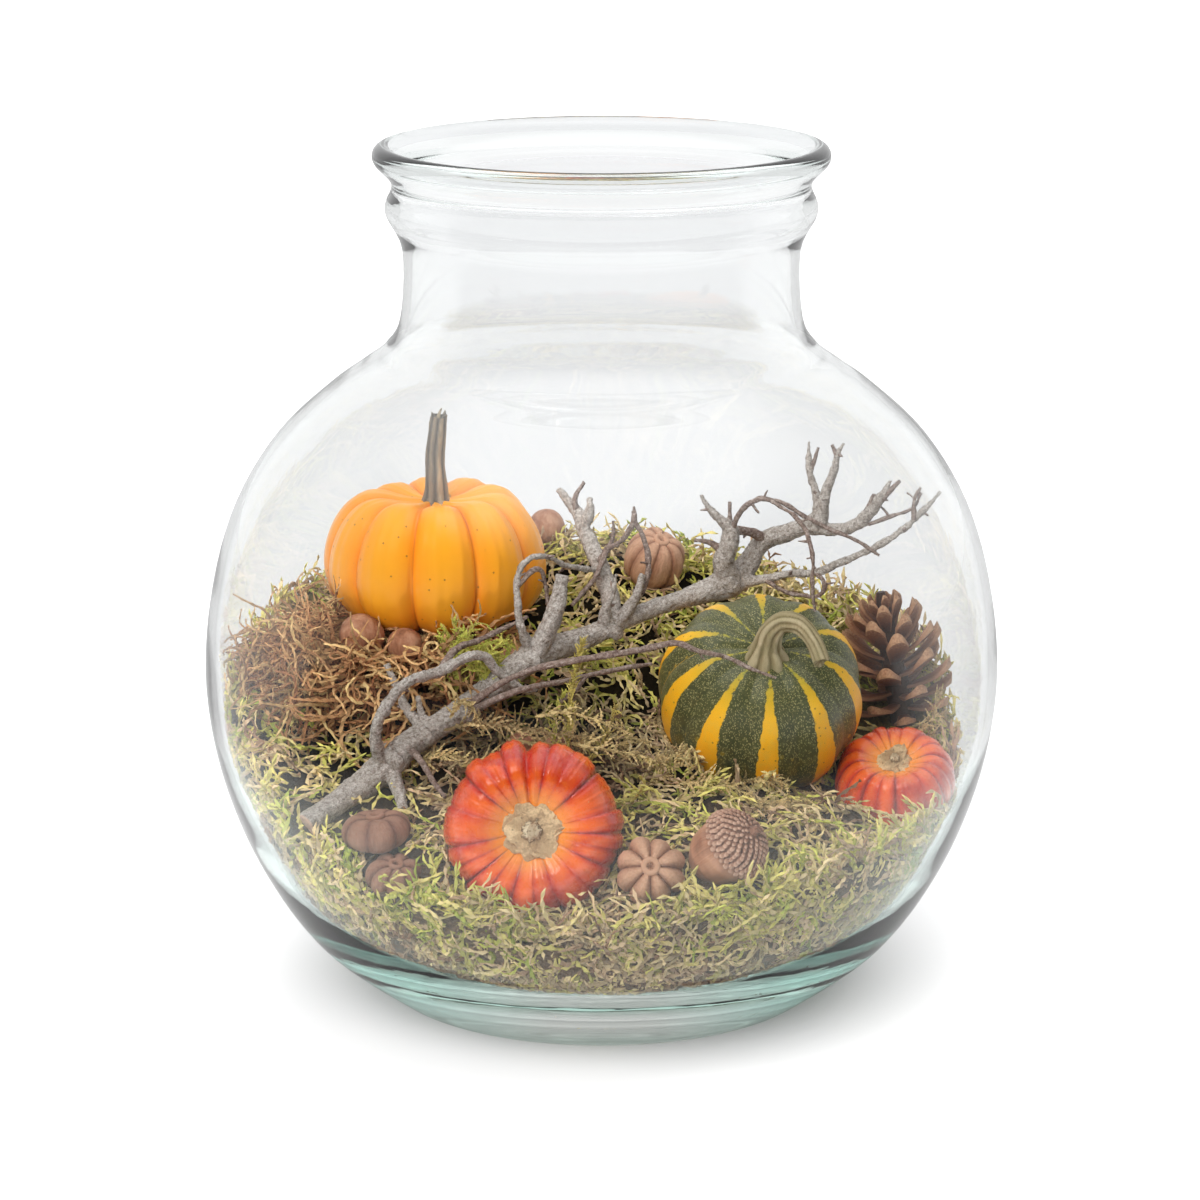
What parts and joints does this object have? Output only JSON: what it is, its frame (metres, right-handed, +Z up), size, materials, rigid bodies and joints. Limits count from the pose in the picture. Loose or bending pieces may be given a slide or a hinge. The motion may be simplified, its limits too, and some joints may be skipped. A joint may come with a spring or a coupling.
{
  "type": "glass plant terrarium",
  "caption": "Clear glass globe jar with a rolled rim, holding a sloping moss bed with pumpkins, a gourd, a twiggy branch, a pine cone, an acorn and nuts.",
  "frame": {"origin": "centre of the jar's flat foot, on the surface it stands on", "axes": "+Z up along the jar's axis, -Y towards the viewer, +X to the viewer's right"},
  "size_m": [0.27, 0.27, 0.289],
  "materials": {
    "glass": "clear, smooth, faintly green where it is thick",
    "moss_green": "dry green moss",
    "moss_brown": "dry brown curly moss",
    "moss_tan": "tan feather moss",
    "moss_lime": "yellow-green moss",
    "orange_rind": "satin rind",
    "grey_stem": "dry ridged stem",
    "striped_rind": "satin green rind with yellow stripes",
    "tan_stem": "dry fluted stem",
    "red_rind": "glossy rind",
    "dry_calyx": "dry papery calyx",
    "cone_scale": "matt scales",
    "grey_bark": "rough grey bark",
    "acorn_shell": "satin shell",
    "acorn_cup": "matt scales",
    "brown_pod": "satin shell",
    "brown_nut": "satin shell"
  },
  "bodies": {
    "root": {"glass_jar": "glass", "moss_bed": "moss_green", "dry_moss_tangle": "moss_brown", "moss_sprig_middle": "moss_tan", "moss_plume": "moss_lime", "moss_tuft_green": "moss_lime", "moss_sprig_edge": "moss_tan", "pumpkin_orange": "orange_rind", "pumpkin_orange_stem": "grey_stem", "gourd_green": "striped_rind", "gourd_green_stem": "tan_stem", "fruit_front": "red_rind", "fruit_front_calyx": "dry_calyx", "fruit_right": "red_rind", "fruit_right_calyx": "dry_calyx", "pine_cone": "cone_scale", "branch": "grey_bark", "acorn_nut": "acorn_shell", "acorn_cap": "acorn_cup", "pod_front": "brown_pod", "pod_left": "brown_pod", "pod_low_left": "brown_pod", "pod_back": "brown_pod", "nut_1": "brown_nut", "nut_2": "brown_nut", "nut_3": "brown_nut", "nut_4": "brown_nut", "nut_5": "brown_nut", "nut_6": "brown_nut"}
  },
  "joints": []
}
